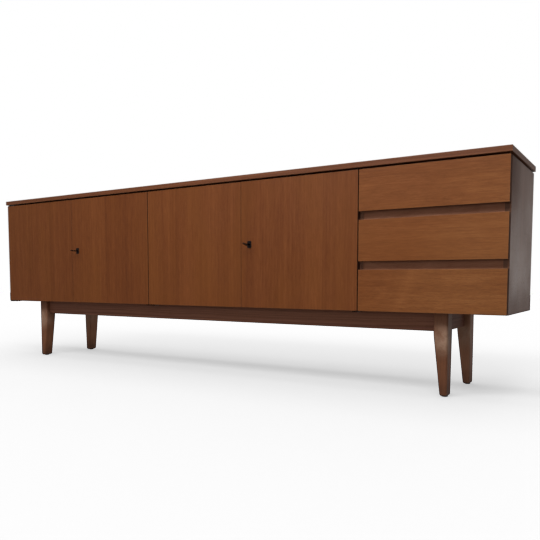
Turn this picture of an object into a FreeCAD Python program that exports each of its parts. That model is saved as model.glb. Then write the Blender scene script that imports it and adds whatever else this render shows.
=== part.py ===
"""Low sideboard buffet: a veneered case on a tapered-leg base.

Frame: +X runs along the length to the right, the fronts face -Y, +Z is up.
The origin is on the floor, in the middle of the overall length and depth.
From left to right: two pairs of hinged doors, then a column of three drawers.
Lengths are in millimetres.
"""
import FreeCAD, Part
import Sketcher
import math
import os
import re

# Driving dimensions: alias, value in millimetres (degrees for angles).
SIZES = [
    # Case
    ("door_module", 480),          # width of one door's share of the front
    ("drawer_module", 480),        # width of the drawer column's share of the front
    ("base_height", 272),          # floor to the lower edge of the fronts
    ("front_height", 472),         # height of a door, and of the stack of drawers
    ("front_thick", 20),
    ("front_gap", 4),              # behind the fronts, to the case's front edges
    ("case_depth", 376),
    ("panel_thick", 18),
    ("edge_round", 1),             # eased edges of the show wood
    ("back_thick", 5),
    ("rebate_depth", 6),           # seat of the back panels, from the rear edge
    ("rebate_width", 8),
    # Top
    ("slab_thick", 18),
    ("slab_side_overhang", 5),
    ("slab_front_overhang", 6),
    ("slab_back_overhang", 2),
    ("shadow_gap", 6),             # between the fronts and the slab
    ("batten_width", 30),
    ("batten_setback", 20),        # from the case's ends and back
    ("batten_front_setback", 51),  # behind the case's front edges
    # Gaps between fronts
    ("partition_gap", 3.5),
    ("pair_gap", 1.2),
    ("finger_gap", 28),            # between drawer fronts
    # Base
    ("leg_width", 47),             # along X at the top
    ("leg_depth", 52),             # along Y at the top
    ("foot_width", 23),            # along X
    ("foot_depth", 46),            # along Y
    ("leg_round", 7),
    ("foot_round", 5),
    ("leg_block", 66),             # straight part at the top, where the aprons meet it
    ("leg_end_inset", 184),        # from the case's end to the leg's outer face
    ("leg_front_inset", 41),       # from the front faces to the leg's front face
    ("leg_back_inset", 29),        # from the case's back to the leg's rear face
    ("apron_height", 60),
    ("apron_thick", 22),
    ("apron_setback", 20),         # behind the leg's outer faces
    ("block_height", 40),
    ("block_clear", 6),            # between a brace and its leg
    ("block_thick", 36),           # along each apron
    ("glide_radius", 9),
    ("glide_height", 3),
    ("glide_nail_radius", 1.5),
    ("glide_nail_bore", 14),
    ("glide_nail_play", 1),        # empty bore past the nail's tip
    # Shelves
    ("shelf_thick", 18),
    ("shelf_height", 218),         # underside, above the case floor
    ("shelf_front_setback", 36),   # behind the case's front edges
    ("shelf_play", 1.5),
    ("shelf_back_play", 6),
    ("shelf_pin_radius", 2.5),
    ("shelf_pin_depth", 8),
    ("shelf_pin_reach", 9),
    ("shelf_pin_inset", 50),
    # Pivot hinges
    ("pivot_edge", 9),             # pivot to the door's hinge edge
    ("pivot_face", 5.5),           # pivot behind the door's face
    ("pivot_radius", 2.5),
    ("pivot_length", 11),
    ("pivot_clear", 0.05),         # running fit, on the radius
    ("bush_radius", 4),
    ("bush_length", 13),
    ("hinge_gap", 1),              # between a door's end and its hinge plate
    ("hinge_washer", 0.8),
    ("hinge_thick", 2.5),
    ("hinge_width", 16),
    ("hinge_nose", 4),             # plate in front of the pivot
    ("hinge_reach", 28),           # plate behind the case's front edge
    ("hinge_screw_radius", 1.5),
    ("hinge_screw_length", 14),
    ("hinge_screw_first", 8),      # behind the case's front edge
    ("hinge_screw_pitch", 13),
    ("hinge_head_radius", 3),
    ("hinge_head_height", 1.6),
    # Wood screws that hold the slab and the base
    ("screw_radius", 2),
    ("screw_length", 35),
    ("screw_head_radius", 4),
    ("screw_head_height", 2.5),
    ("screw_bite", 13),            # depth of the base's screws in the case floor
    ("screw_play", 0.1),
    # Locks
    ("key_inset", 38),             # key to the door's free edge
    ("key_above_middle", 1),
    ("key_reach", 40),             # bow's end, in front of the fronts
    ("key_radius", 2.5),
    ("key_tip_radius", 2),
    ("key_bow_width", 19),
    ("key_bow_thick", 2.6),
    ("key_bow_ring", 3.6),
    ("key_collar_radius", 3.8),
    ("key_collar_length", 2.5),
    ("key_bit_reach", 9),
    ("key_bit_thick", 2.5),
    ("escutcheon_width", 18),
    ("escutcheon_height", 26.5),
    ("escutcheon_thick", 2),
    ("escutcheon_round", 4.5),
    ("escutcheon_edge", 0.7),
    ("keyhole_radius", 3.2),
    ("keyhole_slot", 3.4),
    ("keyhole_drop", 9.8),
    ("lock_depth", 11),
    ("lock_wall", 1.5),
    ("lock_tail", 18),             # case behind the key, away from the free edge
    ("lock_above", 24),
    ("lock_below", 14),
    ("lock_edge_inset", 0.5),
    ("bolt_thick", 4),
    ("bolt_height", 12),
    ("bolt_rise", 4),              # lower edge above the key's axis
    ("bolt_tail", 14),
    ("bolt_back", 2.5),            # clear space between the door and the bolt
    ("bolt_throw", 9),
    ("bolt_notch", 7),
    ("bolt_notch_height", 6.2),
    ("bolt_play", 0.4),
    ("strike_width", 15),
    ("strike_height", 22),
    ("strike_depth", 9.5),
    ("strike_pocket", 11),
    ("strike_play", 1),
    # Magnet catches
    ("catch_width", 40),
    ("catch_height", 12),
    ("catch_length", 20),
    ("catch_gap", 0.7),
    ("catch_inset", 20),
    ("catch_plate_thick", 1.5),
    # Drawers
    ("drawer_side_thick", 14),
    ("drawer_side_height", 90),
    ("drawer_side_drop", 25),      # above the front's lower edge
    ("drawer_side_gap", 2.5),
    ("drawer_back_gap", 9),
    ("drawer_back_thick", 12),
    ("drawer_back_drop", 8),
    ("drawer_bottom_thick", 4),
    ("drawer_bottom_rise", 8),
    ("drawer_bottom_groove", 5),
    ("drawer_bottom_play", 0.2),
    ("pull_bevel", 8),             # finger bevel behind the drawer fronts' edges
    ("rail_height", 34),
    ("rail_thick", 20),
    ("rail_setback", 2),
    ("runner_height", 12),
    ("runner_bite", 6),            # runner's depth in the drawer side's groove
    ("runner_play", 0.5),
    ("runner_rise", 50),           # groove's middle above the side's lower edge
    ("runner_end_gap", 6),
]

# How each key's bow is turned about the key's axis at rest, in degrees from level.
KEY_BOW_ANGLES = {2: 12, 4: 33}

# Places worked out from the driving dimensions.
PLACES = {
    "case_length": "4 * door_module + drawer_module",
    "case_end": "case_length / 2",
    "case_front": "face + front_thick + front_gap",
    "case_back": "case_front + case_depth",
    "face": "(key_reach - front_thick - front_gap - case_depth - slab_back_overhang) / 2",
    "case_floor": "base_height - hinge_gap",
    "case_roof": "front_top + hinge_gap",
    "case_height": "case_roof - case_floor",
    "front_top": "base_height + front_height",
    "inner_floor": "case_floor + panel_thick",
    "inner_roof": "case_roof - panel_thick",
    "inner_height": "inner_roof - inner_floor",
    "inner_end": "case_end - panel_thick",
    "partition_a": "2 * door_module - case_end",
    "partition_b": "4 * door_module - case_end",
    "slab_floor": "front_top + shadow_gap",
    "batten_height": "shadow_gap - hinge_gap",
    "batten_front": "case_front + batten_front_setback",
    "batten_back": "case_back - batten_setback - batten_width",
    "batten_end": "case_end - batten_setback",
    "leg_end": "case_end - leg_end_inset",
    "leg_front": "face + leg_front_inset",
    "leg_back": "case_back - leg_back_inset",
    "leg_length": "case_floor - glide_height",
    "apron_floor": "case_floor - apron_height",
    "shelf_floor": "inner_floor + shelf_height",
    "shelf_front": "case_front + shelf_front_setback",
    "shelf_depth": "back_front - shelf_back_play - shelf_front",
    "back_front": "case_back - rebate_depth",
    "pin_height": "shelf_floor - shelf_pin_radius",
    "pin_hole": "shelf_pin_radius + screw_play",
    "pivot_y": "face + pivot_face",
    "hinge_back": "case_front + hinge_reach",
    "screw_hole": "screw_radius + screw_play",
    "hinge_hole": "hinge_screw_radius + screw_play",
    "slab_screw_bite": "inner_roof + screw_length - slab_floor",
    "base_screw_head": "case_floor + screw_bite - screw_length",
    "apron_inner": "apron_setback + apron_thick",
    "block_near": "leg_width + leg_depth - 2 * apron_inner + block_clear",
    "block_far": "block_near + block_thick",
    "block_floor": "case_floor - block_height",
    "block_screw": "apron_inner + (block_near + block_far) / 4",
    "key_z": "base_height + front_height / 2 + key_above_middle",
    "bolt_floor": "key_z + bolt_rise",
    "bow_radius": "key_bow_width / 2",
    "door_back": "face + front_thick",
    "bolt_front": "door_back + bolt_back",
    "bay_left": "partition_b + panel_thick / 2",
    "bay_width": "drawer_module - 1.5 * panel_thick",
    "drawer_front_height": "(front_height - 2 * finger_gap) / 3",
    "drawer_width": "bay_width - 2 * drawer_side_gap",
    "drawer_left": "bay_left + drawer_side_gap",
    "drawer_length": "back_front - drawer_back_gap - door_back",
    "runner_width": "drawer_side_gap + runner_bite",
    "groove_depth": "runner_bite + 2 * runner_play",
    "groove_height": "runner_height + 2 * runner_play",
    "groove_floor": "runner_rise - groove_height / 2",
    "bottom_groove": "drawer_bottom_thick + drawer_bottom_play",
}

SHEET = "Sizes"
ALIASES = [alias for alias, _ in SIZES]
doc = FreeCAD.newDocument("Sideboard")
sheet = doc.addObject("Spreadsheet::Sheet", SHEET)
for row, (alias, value) in enumerate(SIZES, start=1):
    sheet.set("A%d" % row, alias)
    sheet.set("B%d" % row, str(value))
    sheet.setAlias("B%d" % row, alias)
doc.recompute()

nodes = []


# Formulas ------------------------------------------------------------------

def formula(text):
    """Turn size and place names into references to the sheet's cells."""
    def expand(match):
        word = match.group(0)
        if word in PLACES:
            return "(" + formula(PLACES[word]) + ")"
        if word in ALIASES:
            return SHEET + "." + word
        return word
    return re.sub(r"[a-z][a-z_0-9]*", expand, text)


def bind(obj, prop, text):
    obj.setExpression(prop, formula(text))


def place(obj, at, rotation=FreeCAD.Rotation()):
    obj.Placement = FreeCAD.Placement(FreeCAD.Vector(), rotation)
    for axis, text in zip("xyz", at):
        bind(obj, "Placement.Base." + axis, text)


def node(obj, name):
    """Name an object as one of the sideboard's sub-parts."""
    obj.Label = name
    nodes.append(obj)
    return obj


# Primitives and booleans ---------------------------------------------------

UP = FreeCAD.Rotation()
DOWN = FreeCAD.Rotation(FreeCAD.Vector(1, 0, 0), 180)
RIGHTWARD = FreeCAD.Rotation(FreeCAD.Vector(0, 1, 0), 90)


def board(name, at, size):
    """A box with its lowest corner at the point given."""
    obj = doc.addObject("Part::Box", name)
    for prop, text in zip(("Length", "Width", "Height"), size):
        bind(obj, prop, text)
    place(obj, at)
    return obj


def rod(name, at, radius, length, rotation=UP):
    """A cylinder that starts at the point given and runs the rotation's way."""
    obj = doc.addObject("Part::Cylinder", name)
    bind(obj, "Radius", radius)
    bind(obj, "Height", length)
    place(obj, at, rotation)
    return obj


def fuse(name, shapes):
    obj = doc.addObject("Part::MultiFuse", name)
    obj.Shapes = shapes
    return obj


def cut(name, base, tools):
    obj = doc.addObject("Part::Cut", name)
    obj.Base = base
    obj.Tool = tools[0] if len(tools) == 1 else fuse(name + "_tools", tools)
    return obj


def group(name, members):
    obj = doc.addObject("Part::Compound", name)
    obj.Links = members
    return node(obj, name)


# Bodies, sketches and features ---------------------------------------------

def new_body(name, at=("0", "0", "0")):
    body = doc.addObject("PartDesign::Body", name)
    body.Label = name
    place(body, at)
    return body


def new_sketch(body, plane, offset="0", turn=None):
    """A sketch on one of the body's own origin planes, moved along its normal."""
    sketch = body.newObject("Sketcher::SketchObject", body.Name + "_sketch")
    support = [f for f in body.Origin.OriginFeatures if f.Role == plane][0]
    sketch.AttachmentSupport = [(support, "")]
    sketch.MapMode = "FlatFace"
    if turn is not None:
        sketch.AttachmentOffset = FreeCAD.Placement(FreeCAD.Vector(), turn)
    bind(sketch, "AttachmentOffset.Base.z", offset)
    return sketch


def pin_point(sketch, geometry, position, point):
    """Fix one point of a sketch by a formula for each coordinate."""
    for kind, text in zip(("DistanceX", "DistanceY"), point):
        at = sketch.getPoint(geometry, position)
        value = at.x if kind == "DistanceX" else at.y
        index = sketch.addConstraint(Sketcher.Constraint(kind, -1, 1, geometry, position, value))
        bind(sketch, "Constraints[%d]" % index, text)


def add_outline(sketch, points):
    """A closed polygon with every corner fixed by formulas."""
    count = len(points)
    first = sketch.GeometryCount
    for i in range(count):
        # Any rough start will do that keeps the corners in order.
        a, b = (2 * math.pi * k / count for k in (i, i + 1))
        start = FreeCAD.Vector(100 * math.cos(a), 100 * math.sin(a), 0)
        end = FreeCAD.Vector(100 * math.cos(b), 100 * math.sin(b), 0)
        sketch.addGeometry(Part.LineSegment(start, end), False)
    for i in range(count):
        after = first + (i + 1) % count
        sketch.addConstraint(Sketcher.Constraint("Coincident", first + i, 2, after, 1))
    for i, point in enumerate(points):
        pin_point(sketch, first + i, 1, point)


def add_rectangle(sketch, low, high):
    add_outline(sketch, [low, (high[0], low[1]), high, (low[0], high[1])])


def add_rounded_rectangle(sketch, low, high, radius):
    """A rectangle with a tangent arc at every corner, drawn anticlockwise."""
    first = sketch.GeometryCount
    near, far = 10, 90
    rough_centres = [(far, near), (far, far), (near, far), (near, near)]
    rough_starts = [(near, 0), (far + near, near), (far, far + near), (0, far)]
    rough_ends = [(far, 0), (far + near, far), (near, far + near), (0, near)]
    for i in range(4):
        start, end = FreeCAD.Vector(*rough_starts[i]), FreeCAD.Vector(*rough_ends[i])
        sketch.addGeometry(Part.LineSegment(start, end), False)
        circle = Part.Circle(FreeCAD.Vector(*rough_centres[i]), FreeCAD.Vector(0, 0, 1), near)
        quarter = math.pi / 2
        sketch.addGeometry(Part.ArcOfCircle(circle, (i - 1) * quarter, i * quarter), False)
    for i in range(8):
        after = first + (i + 1) % 8
        sketch.addConstraint(Sketcher.Constraint("Tangent", first + i, 2, after, 1))
    low_x, low_y = (text + " + " + radius for text in low)
    high_x, high_y = (text + " - " + radius for text in high)
    centres = [(high_x, low_y), (high_x, high_y), (low_x, high_y), (low_x, low_y)]
    for i, centre in enumerate(centres):
        arc = first + 2 * i + 1
        index = sketch.addConstraint(Sketcher.Constraint("Radius", arc, near))
        bind(sketch, "Constraints[%d]" % index, radius)
        pin_point(sketch, arc, 3, centre)


def add_circle(sketch, centre, radius):
    geometry = sketch.addGeometry(Part.Circle(FreeCAD.Vector(0, 0, 0), FreeCAD.Vector(0, 0, 1), 5), False)
    index = sketch.addConstraint(Sketcher.Constraint("Radius", geometry, 5))
    bind(sketch, "Constraints[%d]" % index, radius)
    pin_point(sketch, geometry, 3, centre)


def extrude(body, kind, sketch, length, backward=False):
    """A Pad or a Pocket; a Pocket has to take volume away."""
    before = body.Shape.Volume if kind == "Pocket" else 0
    feature = body.newObject("PartDesign::" + kind, body.Name + "_" + kind.lower())
    feature.Profile = sketch
    feature.Reversed = backward
    bind(feature, "Length", length)
    sketch.Visibility = False
    doc.recompute()
    if kind == "Pocket" and body.Shape.Volume > before - 1e-3:
        raise RuntimeError(body.Label + ": a pocket cuts nothing")
    return feature


def pad(body, sketch, length, backward=False):
    return extrude(body, "Pad", sketch, length, backward)


def pocket(body, sketch, length, backward=False):
    return extrude(body, "Pocket", sketch, length, backward)


def round_edges(body, wanted, radius):
    """Fillet the edges of the body's tip that the test picks out."""
    tip = body.Tip
    names = ["Edge%d" % i for i, edge in enumerate(tip.Shape.Edges, start=1) if wanted(edge)]
    feature = body.newObject("PartDesign::Fillet", body.Name + "_fillet")
    feature.Base = (tip, names)
    bind(feature, "Radius", radius)
    doc.recompute()


def edge_runs_along(edge, axis):
    ends = [v.Point for v in edge.Vertexes]
    if len(ends) < 2:
        return False
    run = (ends[1] - ends[0]).normalize()
    return abs(getattr(run, axis)) > 0.9


def every_edge(edge):
    return True


def on_side(body, axis, side):
    """A test for the edges that lie on the body's lowest or highest side along an axis."""
    limit = axis.upper() + ("Max" if side > 0 else "Min")
    value = getattr(body.Tip.Shape.BoundBox, limit)

    def test(edge):
        return all(abs(getattr(v.Point, axis) - value) < 0.01 for v in edge.Vertexes)
    return test


def prism(name, height, plane, start, points, length, backward=False):
    """A body at the height given that is one padded outline."""
    body = new_body(name, ("0", "0", height))
    sketch = new_sketch(body, plane, start)
    add_outline(sketch, points)
    pad(body, sketch, length, backward)
    return body


def slab_of(name, height, low, high, thick):
    """A body that is a board lying between two corners of its plan."""
    corners = [low, (high[0], low[1]), high, (low[0], high[1])]
    return prism(name, height, "XY_Plane", "0", corners, thick)


def drill(body, centres, radius, start, depth, upward):
    """Round holes along Z from the height given, measured from the body's base."""
    sketch = new_sketch(body, "XY_Plane", start)
    for centre in centres:
        add_circle(sketch, centre, radius)
    pocket(body, sketch, depth, backward=upward)


# Shared places ---------------------------------------------------------------

# Doors from left to right: number, left edge, right edge, hinge side (-1 is left).
PAIR_MIDDLES = ["door_module - case_end", "3 * door_module - case_end"]
DOORS = [
    (1, "-case_end", PAIR_MIDDLES[0] + " - pair_gap / 2", -1),
    (2, PAIR_MIDDLES[0] + " + pair_gap / 2", "partition_a - partition_gap / 2", 1),
    (3, "partition_a + partition_gap / 2", PAIR_MIDDLES[1] + " - pair_gap / 2", -1),
    (4, PAIR_MIDDLES[1] + " + pair_gap / 2", "partition_b - partition_gap / 2", 1),
]
PIVOTS = [
    left + " + pivot_edge" if side < 0 else right + " - pivot_edge"
    for _, left, right, side in DOORS
]
HINGE_SCREW_ROWS = [
    "case_front + hinge_screw_first",
    "case_front + hinge_screw_first + hinge_screw_pitch",
]
SHELF_PIN_ROWS = [
    "shelf_front + shelf_pin_inset",
    "shelf_front + shelf_depth - shelf_pin_inset",
]
# Bays that have a shelf: name, left wall's face and right wall's face.
SHELF_BAYS = [
    ("shelf_left", "-inner_end", "partition_a - panel_thick / 2"),
    ("shelf_middle", "partition_a + panel_thick / 2", "partition_b - panel_thick / 2"),
]
SLAB_SCREW_COLUMNS = ["%s * batten_end" % share for share in ("-0.9", "-0.3", "0.3", "0.9")]
SLAB_SCREW_ROWS = ["batten_front + batten_width / 2", "batten_back + batten_width / 2"]
# Legs: name, side along X (-1 is left) and along Y (-1 is front).
LEGS = [
    ("leg_front_left", -1, -1),
    ("leg_front_right", 1, -1),
    ("leg_rear_left", -1, 1),
    ("leg_rear_right", 1, 1),
]


def by_leg(side_x, side_y, inward_x, inward_y):
    """A plan point measured inward from a leg's outer corner."""
    edge_y = "leg_front" if side_y < 0 else "leg_back"
    return (
        "%d * (leg_end - (%s))" % (side_x, inward_x),
        "%s - %d * (%s)" % (edge_y, side_y, inward_y),
    )


def crossings(columns, rows):
    return [(x, y) for x in columns for y in rows]


# Case ------------------------------------------------------------------------

def drill_shelf_pins(body, floor, face_x, toward):
    """Blind holes for one end of a shelf's pins, cut toward +X (1) or -X (-1)."""
    sketch = new_sketch(body, "YZ_Plane", face_x)
    for y in SHELF_PIN_ROWS:
        add_circle(sketch, (y, "pin_height - " + floor), "pin_hole")
    pocket(body, sketch, "shelf_pin_depth", backward=toward > 0)


def make_sides():
    """End panels, rebated for the back."""
    for name, side in (("side_left", -1), ("side_right", 1)):
        outer, inner = "%d * case_end" % side, "%d * inner_end" % side
        step = "%d * (inner_end + rebate_width)" % side
        corners = [
            (outer, "case_front"),
            (inner, "case_front"),
            (inner, "back_front"),
            (step, "back_front"),
            (step, "case_back"),
            (outer, "case_back"),
        ]
        body = prism(name, "case_floor", "XY_Plane", "0", corners, "case_height")
        round_edges(body, on_side(body, "x", side), "edge_round")
        if side < 0:
            drill_shelf_pins(body, "case_floor", inner, toward=-1)
            centres = crossings(PIVOTS[:1], HINGE_SCREW_ROWS)
            drill(body, centres, "hinge_hole", "0", "hinge_screw_length", upward=True)
            drill(body, centres, "hinge_hole", "case_height", "hinge_screw_length", upward=False)
        node(body, name)


def make_floor_and_roof():
    """Lower and upper boards of the case, between the sides."""
    centres = crossings(PIVOTS[1:], HINGE_SCREW_ROWS)
    outline = [
        ("case_front", "0"),
        ("case_back", "0"),
        ("case_back", "panel_thick - rebate_width"),
        ("back_front", "panel_thick - rebate_width"),
        ("back_front", "panel_thick"),
        ("case_front", "panel_thick"),
    ]
    body = prism("case_bottom", "case_floor", "YZ_Plane", "-inner_end", outline, "2 * inner_end")
    drill(body, centres, "hinge_hole", "0", "hinge_screw_length", upward=True)
    base_screws = [by_leg(sx, sy, "block_screw", "block_screw") for _, sx, sy in LEGS]
    drill(body, base_screws, "screw_hole", "0", "screw_bite", upward=True)
    node(body, "case_bottom")

    outline = [(y, "panel_thick - (%s)" % z) for y, z in outline]
    body = prism("case_top", "inner_roof", "YZ_Plane", "-inner_end", outline, "2 * inner_end")
    drill(body, centres, "hinge_hole", "panel_thick", "hinge_screw_length", upward=False)
    slab_screws = crossings(SLAB_SCREW_COLUMNS, SLAB_SCREW_ROWS)
    drill(body, slab_screws, "screw_hole", "0", "panel_thick", upward=True)
    node(body, "case_top")


def make_partitions():
    for name, middle in (("partition_left", "partition_a"), ("partition_right", "partition_b")):
        left, right = middle + " - panel_thick / 2", middle + " + panel_thick / 2"
        low, high = (left, "case_front"), (right, "back_front")
        body = slab_of(name, "inner_floor", low, high, "inner_height")
        drill_shelf_pins(body, "inner_floor", left, toward=1)
        if name == "partition_left":
            drill_shelf_pins(body, "inner_floor", right, toward=-1)
        node(body, name)


def make_back():
    edges = ["-(inner_end + rebate_width)", "partition_a", "partition_b", "inner_end + rebate_width"]
    floor = "inner_floor - rebate_width"
    panels = []
    for i, (left, right) in enumerate(zip(edges, edges[1:]), start=1):
        size = (right + " - (" + left + ")", "back_thick", "inner_height + 2 * rebate_width")
        panels.append(board("back_panel_%d" % i, (left, "back_front", floor), size))
    group("back_panels", panels)


def make_top():
    """The overhanging slab, and the battens that hold it off the case."""
    low = ("-case_end - slab_side_overhang", "face - slab_front_overhang")
    high = ("case_end + slab_side_overhang", "case_back + slab_back_overhang")
    body = slab_of("top_slab", "slab_floor", low, high, "slab_thick")
    round_edges(body, every_edge, "edge_round")
    slab_screws = crossings(SLAB_SCREW_COLUMNS, SLAB_SCREW_ROWS)
    drill(body, slab_screws, "screw_hole", "0", "slab_screw_bite", upward=True)
    node(body, "top_slab")

    battens = []
    for name, y in (("batten_front", "batten_front"), ("batten_rear", "batten_back")):
        size = ("2 * batten_end", "batten_width", "batten_height")
        strip = board(name + "_strip", ("-batten_end", y, "case_roof"), size)
        holes = [
            rod("%s_hole_%d" % (name, i), (x, y + " + batten_width / 2", "case_roof"),
                "screw_hole", "batten_height")
            for i, x in enumerate(SLAB_SCREW_COLUMNS)
        ]
        battens.append(cut(name, strip, holes))
    between = "batten_back - batten_front - batten_width"
    for name, x in (("batten_left", "-batten_end"), ("batten_right", "batten_end - batten_width")):
        at = (x, "batten_front + batten_width", "case_roof")
        battens.append(board(name, at, ("batten_width", between, "batten_height")))
    group("top_battens", battens)


def make_shelves():
    pins = []
    for name, left, right in SHELF_BAYS:
        at = (left + " + shelf_play", "shelf_front", "shelf_floor")
        size = ("%s - (%s) - 2 * shelf_play" % (right, left), "shelf_depth", "shelf_thick")
        node(board(name, at, size), name)
        for x in (left + " - shelf_pin_depth", right + " - shelf_pin_reach"):
            for y in SHELF_PIN_ROWS:
                label = "shelf_pin_%d" % (len(pins) + 1)
                length = "shelf_pin_depth + shelf_pin_reach"
                at = (x, y, "pin_height")
                pins.append(rod(label, at, "shelf_pin_radius", length, RIGHTWARD))
    group("shelf_pins", pins)


# Base ------------------------------------------------------------------------

def leg_section(side_x, side_y, width, depth):
    """The lowest and highest corners of a leg's section, from its outer corner."""
    near = by_leg(side_x, side_y, "0", "0")
    far = by_leg(side_x, side_y, width, depth)
    low_x, high_x = (near[0], far[0]) if side_x < 0 else (far[0], near[0])
    low_y, high_y = (near[1], far[1]) if side_y < 0 else (far[1], near[1])
    return (low_x, low_y), (high_x, high_y)


def make_legs():
    """Legs straight on their outer faces and tapered on the two inner ones."""
    for name, side_x, side_y in LEGS:
        body = new_body(name, ("0", "0", "glide_height"))
        foot = new_sketch(body, "XY_Plane")
        foot_low, foot_high = leg_section(side_x, side_y, "foot_width", "foot_depth")
        add_rounded_rectangle(foot, foot_low, foot_high, "leg_round")
        low, high = leg_section(side_x, side_y, "leg_width", "leg_depth")
        neck = new_sketch(body, "XY_Plane", "leg_length - leg_block")
        add_rounded_rectangle(neck, low, high, "leg_round")
        taper = body.newObject("PartDesign::AdditiveLoft", name + "_taper")
        taper.Profile = foot
        taper.Sections = [neck]
        taper.Ruled = True
        doc.recompute()

        block = new_sketch(body, "XY_Plane", "leg_length - leg_block")
        add_rounded_rectangle(block, low, high, "leg_round")
        pad(body, block, "leg_block")
        round_edges(body, on_side(body, "z", -1), "foot_round")
        middle = by_leg(side_x, side_y, "foot_width / 2", "foot_depth / 2")
        drill(body, [middle], "glide_nail_radius + screw_play", "0", "glide_nail_bore", upward=True)
        node(body, name)


def make_aprons():
    """Rails of the base, set back between the legs."""
    across = "2 * (leg_end - leg_width)"
    along = "leg_back - leg_front - 2 * leg_depth"
    left = "leg_width - leg_end"
    side_y = "leg_front + leg_depth"
    fronts = [
        ("apron_front", (left, "leg_front + apron_setback", "apron_floor"), across, "apron_thick"),
        ("apron_rear", (left, "leg_back - apron_inner", "apron_floor"), across, "apron_thick"),
        ("apron_left", ("apron_setback - leg_end", side_y, "apron_floor"), "apron_thick", along),
        ("apron_right", ("leg_end - apron_inner", side_y, "apron_floor"), "apron_thick", along),
    ]
    for name, at, length, depth in fronts:
        node(board(name, at, (length, depth, "apron_height")), name)


def make_corner_blocks():
    """Braces across the corners of the base, bored for the screws into the case."""
    blocks = []
    for name, side_x, side_y in LEGS:
        near, far = "apron_inner + block_near", "apron_inner + block_far"
        plan = [(near, "apron_inner"), (far, "apron_inner"), ("apron_inner", far), ("apron_inner", near)]
        corners = [by_leg(side_x, side_y, x, y) for x, y in plan]
        body = prism(name.replace("leg", "block"), "block_floor", "XY_Plane", "0", corners, "block_height")
        middle = [by_leg(side_x, side_y, "block_screw", "block_screw")]
        drill(body, middle, "screw_hole", "0", "block_height", upward=True)
        sunk = "base_screw_head - block_floor"
        drill(body, middle, "screw_head_radius + screw_play", "0", sunk, upward=True)
        blocks.append(body)
    group("corner_blocks", blocks)


def make_glides():
    glides = []
    for name, side_x, side_y in LEGS:
        x, y = by_leg(side_x, side_y, "foot_width / 2", "foot_depth / 2")
        name = name.replace("leg", "glide")
        disc = rod(name + "_disc", (x, y, "0"), "glide_radius", "glide_height")
        nail_length = "glide_height + glide_nail_bore - glide_nail_play"
        nail = rod(name + "_nail", (x, y, "0"), "glide_nail_radius", nail_length)
        glides.append(fuse(name, [disc, nail]))
    group("foot_glides", glides)


# Fasteners and hinges ----------------------------------------------------------

WOOD_SCREW = ("screw_radius", "screw_length", "screw_head_radius", "screw_head_height")
HINGE_SCREW = ("hinge_screw_radius", "hinge_screw_length", "hinge_head_radius", "hinge_head_height")


def screw(name, at, sizes, upward=True):
    """A screw with a flat head, its neck at the point given."""
    radius, length, head_radius, head_height = sizes
    turn, back = (UP, DOWN) if upward else (DOWN, UP)
    shank = rod(name + "_shank", at, radius, length, turn)
    head = rod(name + "_head", at, head_radius, head_height, back)
    return fuse(name, [shank, head])


def make_wood_screws():
    """Eight screws up into the slab and four from the base up into the case."""
    places = [(x, y, "inner_roof") for x, y in crossings(SLAB_SCREW_COLUMNS, SLAB_SCREW_ROWS)]
    for _, side_x, side_y in LEGS:
        places.append(by_leg(side_x, side_y, "block_screw", "block_screw") + ("base_screw_head",))
    group("wood_screws", [
        screw("wood_screw_%d" % i, at, WOOD_SCREW)
        for i, at in enumerate(places, start=1)
    ])


def make_hinges():
    """Pivot plates above and below each door, with their screws."""
    plates = []
    screws = []
    for i, x in enumerate(PIVOTS, start=1):
        for end, seat, turn in (("low", "case_floor", UP), ("high", "case_roof", DOWN)):
            name = "hinge_%s_%d" % (end, i)
            lowest = "case_floor - hinge_thick" if end == "low" else seat
            front = "pivot_y - hinge_nose"
            at = (x + " - hinge_width / 2", front, lowest)
            plate = board(name + "_plate", at, ("hinge_width", "hinge_back - (%s)" % front, "hinge_thick"))
            washer = rod(name + "_washer", (x, "pivot_y", seat), "bush_radius", "hinge_washer", turn)
            pin_length = "hinge_gap + pivot_length"
            pin = rod(name + "_pin", (x, "pivot_y", seat), "pivot_radius", pin_length, turn)
            holes = [
                rod("%s_hole_%d" % (name, j), (x, y, lowest), "hinge_hole", "hinge_thick")
                for j, y in enumerate(HINGE_SCREW_ROWS)
            ]
            plates.append(cut(name, fuse(name + "_blank", [plate, washer, pin]), holes))
            outer = lowest if end == "low" else seat + " + hinge_thick"
            screws += [
                screw("%s_screw_%d" % (name, j), (x, y, outer), HINGE_SCREW, upward=end == "low")
                for j, y in enumerate(HINGE_SCREW_ROWS)
            ]
    group("hinge_plates", plates)
    group("hinge_screws", screws)


# Doors and locks ---------------------------------------------------------------

def cut_keyhole(body, x, height, front, depth):
    """A keyhole along Y: a round bore with a slot below it."""
    bore = new_sketch(body, "XZ_Plane", "-(%s)" % front)
    add_circle(bore, (x, height), "keyhole_radius")
    pocket(body, bore, depth)
    slot = new_sketch(body, "XZ_Plane", "-(%s)" % front)
    low = (x + " - keyhole_slot / 2", height + " - keyhole_drop")
    add_rectangle(slot, low, (x + " + keyhole_slot / 2", height))
    pocket(body, slot, depth)


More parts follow.
